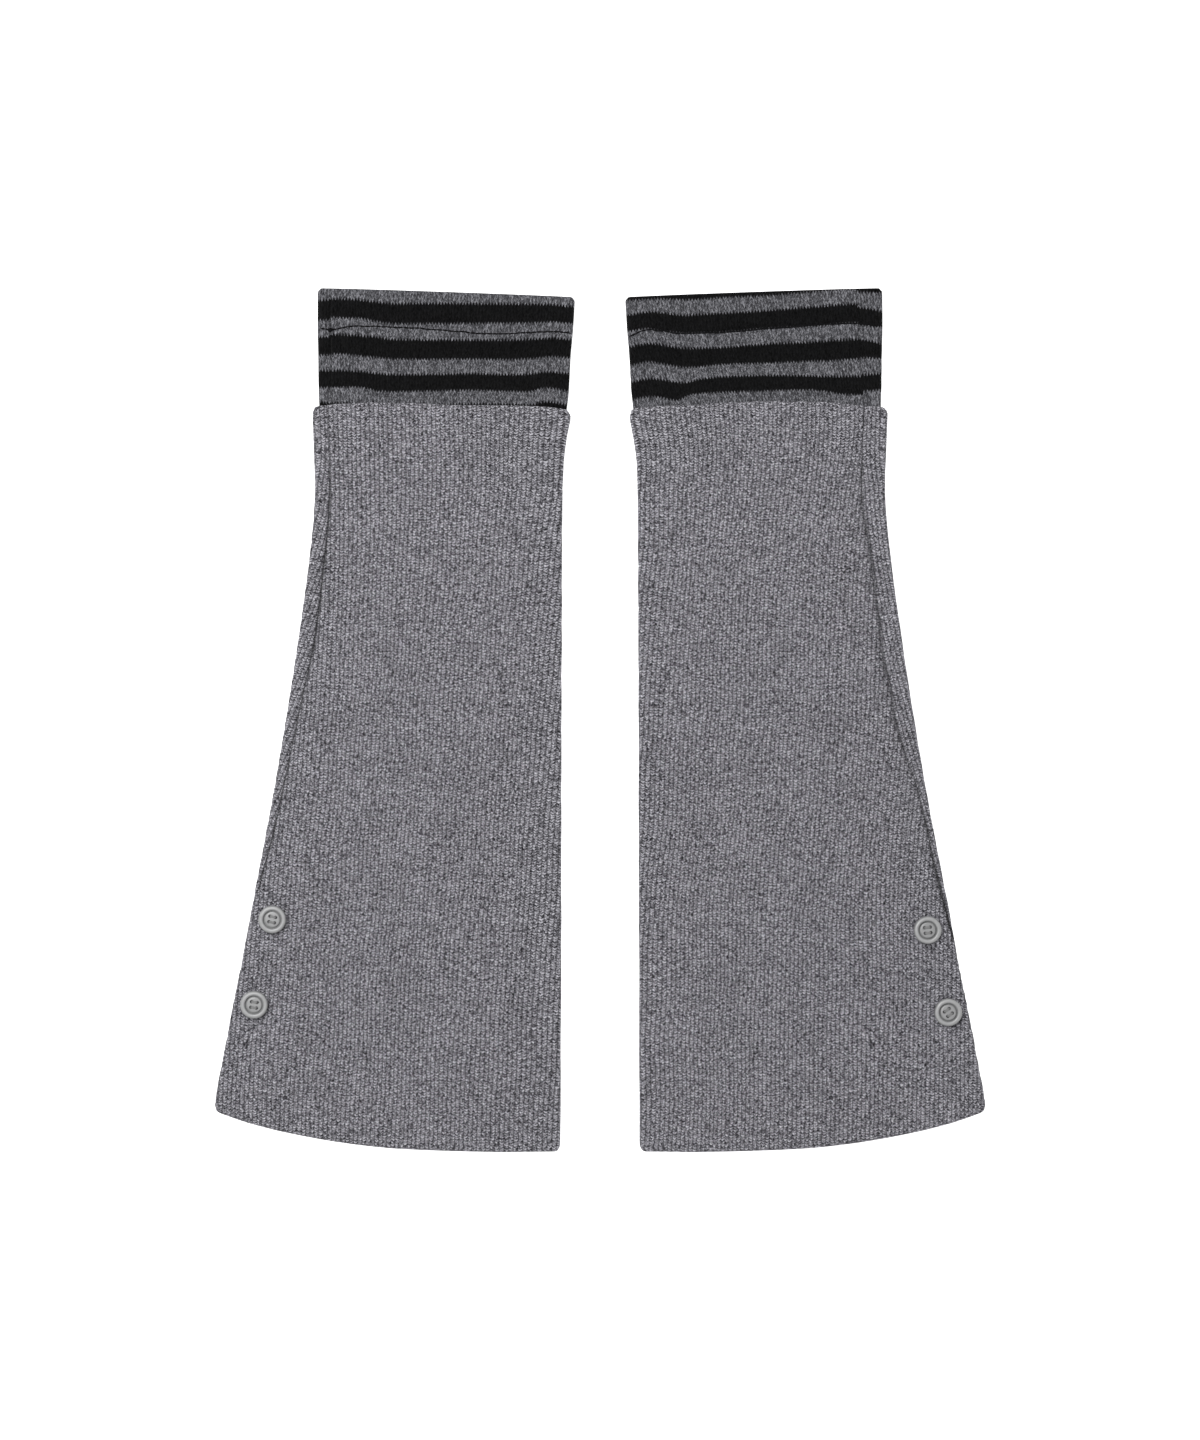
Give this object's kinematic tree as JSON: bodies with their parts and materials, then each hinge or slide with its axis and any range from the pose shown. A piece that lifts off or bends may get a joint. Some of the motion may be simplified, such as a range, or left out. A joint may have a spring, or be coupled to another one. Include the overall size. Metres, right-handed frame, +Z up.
{
  "type": "pair of leg warmers",
  "caption": "Flared rib-knit leg warmers with striped bands and side buttons, lying flat side by side.",
  "frame": {"origin": "middle of the pair's footprint, on the surface that it lies on", "axes": "+Y from the hems to the striped bands, +Z up off the surface, +X to the right with the bands away"},
  "size_m": [0.3838, 0.4314, 0.0076],
  "materials": {
    "rib_knit": "grey melange rib knit, matt and slightly hairy",
    "striped_jersey": "plain knit in black and dark grey stripes, matt",
    "button": "grey moulded plastic, satin",
    "thread": "sewing thread, slight sheen"
  },
  "bodies": {
    "root": {"left_body": "rib_knit", "left_band": "striped_jersey", "left_button_upper": "button", "left_button_lower": "button", "right_body": "rib_knit", "right_band": "striped_jersey", "right_button_upper": "button", "right_button_lower": "button"}
  },
  "joints": []
}
